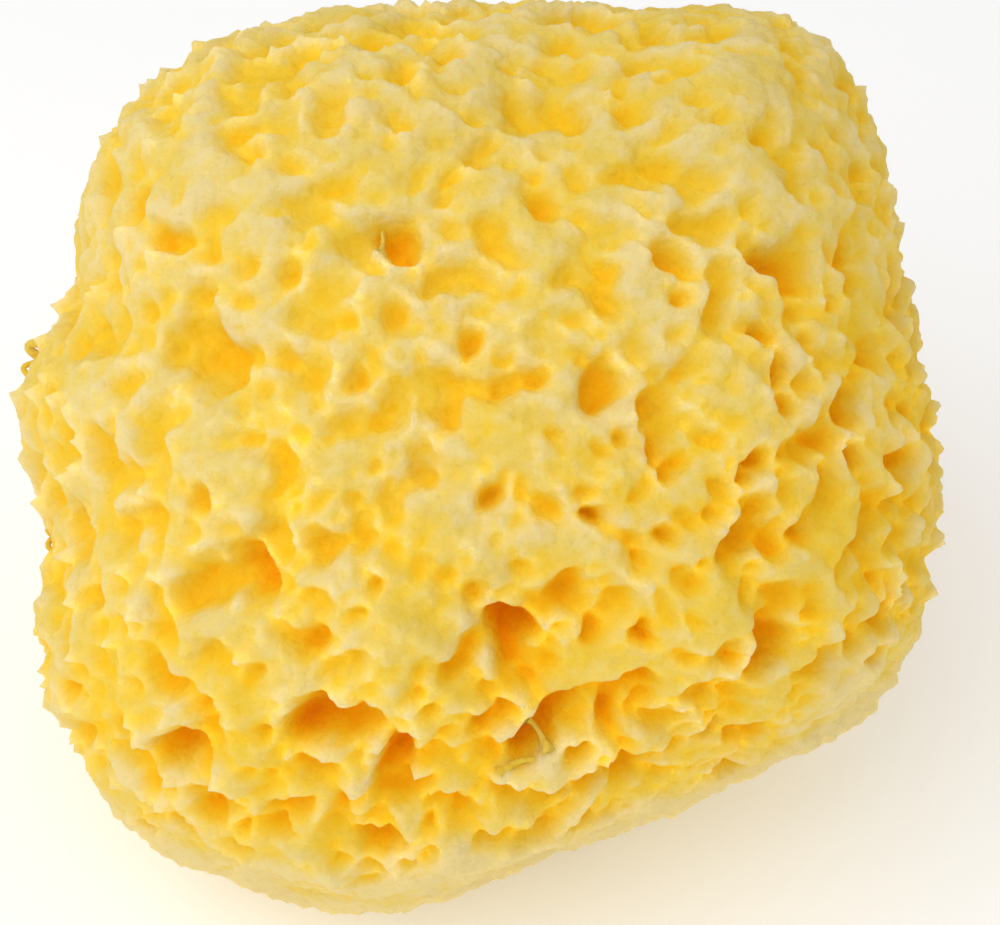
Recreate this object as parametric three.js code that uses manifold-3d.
// A natural bath sponge of the honeycomb kind, about 140 mm across.
// It grew as one piece, so it is one solid: a rounded, slightly square body, cut off flat where it
// held on to the rock, with the large mouths that water leaves by opened in its skin.
// Millimetres, +Z up. The sponge rests on its cut base, in the plane z = 0.

import * as THREE from 'three';
import { mergeVertices } from 'three/addons/utils/BufferGeometryUtils.js';
import Module from 'manifold-3d';

// Driving dimensions of the body, in millimetres and degrees.
const MEAN_RADIUS = 66.5;    // from the body's middle to the rim of its broad face
const HALF_DEPTH = 57;       // from the body's middle to the broad face
const SQUARENESS = 2.35;     // 2 is an ellipsoid, and a larger number is boxier
const FACE_TILT = 40;        // the broad face looks this far above the horizon, towards -Y
const CENTRE_HEIGHT = 51;    // of the body's middle above the cut base
const LUMP_HEIGHT = 1.3;     // of the slow swells all over the body
const BODY_DETAIL = 9;       // each side of the starting icosahedron is cut into one more than this

// Where the rim bulges or draws in: the direction round the broad face from +X, the height of the
// bulge, and how far it spreads each way.
const RIM_BULGES = [
  { towards: 12, height: 2, spread: 12 },      // right
  { towards: 50, height: 13, spread: 13 },     // upper right shoulder
  { towards: 128, height: 7, spread: 15 },     // upper left shoulder
  { towards: 160, height: -3.5, spread: 7 },   // drawn in above the left lobe
  { towards: 190, height: -4, spread: 7 },     // drawn in below the left lobe
  { towards: 226, height: 6, spread: 20 },     // lower left
  { towards: 292, height: -10, spread: 22 },   // the long straight lower right side
  { towards: 334, height: 4, spread: 12 },     // lower right corner
];

// The landmark mouths of the broad face, chosen by hand and placed to the nearest 5 mm: across and up
// from the middle of the face, and the turn of the longer side from level.
const LANDMARK_MOUTHS = [
  { across: -30, up: -15, turn: -35, kind: 'cave' },      // the largest and deepest
  { across: -20, up: -35, turn: 0, kind: 'cave' },
  { across: 5, up: -25, turn: -15, kind: 'cave' },
  { across: -10, up: -40, turn: 60, kind: 'slot' },       // long and slanting, near the lower edge
  { across: -40, up: -40, turn: -15, kind: 'slot' },
  { across: 10, up: -35, turn: 50, kind: 'slot' },
  { across: 40, up: -25, turn: -75, kind: 'slot' },
  { across: 60, up: 20, turn: -75, kind: 'slot' },        // by the right edge
  { across: -10, up: 30, turn: 10, kind: 'cup' },
  { across: -40, up: 30, turn: -30, kind: 'cup' },
  { across: 40, up: 25, turn: -15, kind: 'cup' },
  { across: -35, up: 15, turn: -35, kind: 'dish' },
  { across: 25, up: 5, turn: 85, kind: 'dish' },
  { across: 35, up: -10, turn: 10, kind: 'dish' },
];

// The kinds of mouth: the longer side, the shorter side, and the depth.
const MOUTH_KINDS = {
  cave: { width: 9, height: 7, depth: 9 },
  slot: { width: 11, height: 5, depth: 7 },
  cup: { width: 7, height: 5, depth: 6 },
  dish: { width: 10, height: 7, depth: 4 },
};

// All the other mouths are spread evenly round the body, clear of the landmarks.
const SPREAD_MOUTHS = 78;         // round the whole body, before some are left out
const CLEARANCE = 9;              // from the middle of a landmark mouth to the middle of a spread one
const SKIN_HEIGHT = 16;           // below this height the skin is closed
const MOUTH_WIDTH = { least: 4, most: 7 };
const MOUTH_DEPTH = { least: 3.5, most: 6 };
const GOLDEN_TURN = Math.PI * (3 - Math.sqrt(5));

const SPONGIN = { colour: 0xe9c968, roughness: 0.9 };      // dry sponge fibre, matt and honey yellow
const BLOCK = { width: 400, height: 200 };                 // the block that cuts the base flat

const wasm = await Module();
wasm.setup();

const radians = THREE.MathUtils.degToRad;

// The broad face's own directions: across it, up it, and straight out of it.
const ACROSS = new THREE.Vector3(1, 0, 0);
const UP = new THREE.Vector3(0, Math.sin(radians(FACE_TILT)), Math.cos(radians(FACE_TILT)));
const OUT = new THREE.Vector3(0, -Math.cos(radians(FACE_TILT)), Math.sin(radians(FACE_TILT)));

// The rim's radius in a direction round the broad face: the mean radius and the bulges near it.
function rimRadius(angle) {
  let radius = MEAN_RADIUS;
  for (const bulge of RIM_BULGES) {
    const turn = angle - radians(bulge.towards);
    const away = Math.atan2(Math.sin(turn), Math.cos(turn)) / radians(bulge.spread);
    radius += bulge.height * Math.exp(-0.5 * away * away);
  }
  return radius;
}

// Slow swells, so that no side is a smooth curve.
function lump(direction) {
  const first = Math.sin(5 * direction.x + 1) * Math.sin(4 * direction.y + 2) * Math.sin(5 * direction.z);
  const second = Math.sin(9 * direction.x) * Math.cos(8 * direction.z + 1) * Math.cos(7 * direction.y);
  return LUMP_HEIGHT * (first + second);
}

// The skin's distance from the body's middle in a unit direction: a superellipsoid with that rim.
function skinRadius(direction) {
  const across = direction.dot(ACROSS);
  const up = direction.dot(UP);
  const out = direction.dot(OUT);
  const rim = rimRadius(Math.atan2(up, across));
  const inFace = (Math.hypot(across, up) / rim) ** SQUARENESS;
  const throughFace = (Math.abs(out) / HALF_DEPTH) ** SQUARENESS;
  return (inFace + throughFace) ** (-1 / SQUARENESS) + lump(direction);
}

// A closed mesh as a solid that can be joined and cut.
function toSolid(geometry) {
  geometry.deleteAttribute('normal');
  geometry.deleteAttribute('uv');
  const merged = mergeVertices(geometry, 1e-4);
  const vertProperties = new Float32Array(merged.attributes.position.array);
  const triVerts = new Uint32Array(merged.index.array);
  return new wasm.Manifold(new wasm.Mesh({ numProp: 3, vertProperties, triVerts }));
}

function toGeometry(solid) {
  const mesh = solid.getMesh();
  const geometry = new THREE.BufferGeometry();
  geometry.setAttribute('position', new THREE.BufferAttribute(mesh.vertProperties, mesh.numProp));
  geometry.setIndex(new THREE.BufferAttribute(mesh.triVerts, 1));
  return geometry;
}

// The whole body before its base is cut: every point of a fine icosahedron moved out to the skin.
function bodySolid() {
  const geometry = new THREE.IcosahedronGeometry(1, BODY_DETAIL);
  const position = geometry.attributes.position;
  const direction = new THREE.Vector3();
  for (let i = 0; i < position.count; i += 1) {
    direction.fromBufferAttribute(position, i).normalize();
    const point = direction.clone().multiplyScalar(skinRadius(direction));
    position.setXYZ(i, point.x, point.y, point.z + CENTRE_HEIGHT);
  }
  return toSolid(geometry);
}

// One mouth: an ellipsoid whose middle is on the skin, its depth pointing at the body's middle.
function mouthSolid(direction, width, height, turn, depth) {
  const geometry = new THREE.IcosahedronGeometry(1, 1);
  geometry.scale(width / 2, height / 2, depth);
  geometry.rotateZ(turn);
  const level = new THREE.Vector3().crossVectors(UP, direction).normalize();
  const rise = new THREE.Vector3().crossVectors(direction, level);
  geometry.applyMatrix4(new THREE.Matrix4().makeBasis(level, rise, direction));
  const middle = direction.clone().multiplyScalar(skinRadius(direction));
  geometry.translate(middle.x, middle.y, middle.z + CENTRE_HEIGHT);
  return toSolid(geometry);
}

// The direction from the body's middle to a place on the broad face.
function faceDirection(across, up) {
  const rim = rimRadius(Math.atan2(up, across));
  const inFace = (Math.hypot(across, up) / rim) ** SQUARENESS;
  const out = HALF_DEPTH * Math.max(1 - inFace, 0) ** (1 / SQUARENESS);
  const point = new THREE.Vector3();
  point.addScaledVector(ACROSS, across);
  point.addScaledVector(UP, up);
  point.addScaledVector(OUT, out);
  return point.normalize();
}

function landmarkMouths() {
  const solids = [];
  for (const mouth of LANDMARK_MOUTHS) {
    const direction = faceDirection(mouth.across, mouth.up);
    const { width, height, depth } = MOUTH_KINDS[mouth.kind];
    solids.push(mouthSolid(direction, width, height, radians(mouth.turn), depth));
  }
  return solids;
}

// Whether a point on the skin is clear of every landmark mouth.
function clearOfLandmarks(point) {
  for (const mouth of LANDMARK_MOUTHS) {
    const direction = faceDirection(mouth.across, mouth.up);
    const middle = direction.clone().multiplyScalar(skinRadius(direction));
    if (middle.distanceTo(point) < CLEARANCE) {
      return false;
    }
  }
  return true;
}

// Mouths on a golden spiral from pole to pole, with sizes that vary in a fixed, uneven order.
function spreadMouths() {
  const solids = [];
  for (let i = 0; i < SPREAD_MOUTHS; i += 1) {
    const z = 1 - (2 * i + 1) / SPREAD_MOUTHS;
    const ring = Math.sqrt(1 - z * z);
    const turn = i * GOLDEN_TURN;
    const direction = new THREE.Vector3(ring * Math.cos(turn), ring * Math.sin(turn), z);
    const middle = direction.clone().multiplyScalar(skinRadius(direction));
    if (middle.z + CENTRE_HEIGHT < SKIN_HEIGHT || !clearOfLandmarks(middle)) {
      continue;
    }
    const vary = 0.5 + 0.5 * Math.sin(2.4 * i * i);
    const width = THREE.MathUtils.lerp(MOUTH_WIDTH.least, MOUTH_WIDTH.most, vary);
    const depth = THREE.MathUtils.lerp(MOUTH_DEPTH.least, MOUTH_DEPTH.most, vary);
    solids.push(mouthSolid(direction, width, 0.7 * width, 1.7 * i, depth));
  }
  return solids;
}

// Everything below the plane z = 0, which the cut takes away.
function belowBase() {
  const geometry = new THREE.BoxGeometry(BLOCK.width, BLOCK.width, BLOCK.height);
  geometry.translate(0, 0, -BLOCK.height / 2);
  return toSolid(geometry);
}

// The sponge, moved so that its box stands with its middle on the Z axis.
function sponge() {
  let solid = bodySolid();
  for (const mouth of [...landmarkMouths(), ...spreadMouths()]) {
    solid = solid.subtract(mouth);
  }
  const geometry = toGeometry(solid.subtract(belowBase()));
  geometry.computeBoundingBox();
  const middle = geometry.boundingBox.getCenter(new THREE.Vector3());
  geometry.translate(-middle.x, -middle.y, 0);
  geometry.computeVertexNormals();
  const material = new THREE.MeshStandardMaterial({
    color: SPONGIN.colour,
    roughness: SPONGIN.roughness,
    metalness: 0,
  });
  const mesh = new THREE.Mesh(geometry, material);
  mesh.name = 'sponge';
  return mesh;
}

const object = new THREE.Group();
object.add(sponge());

export default object;
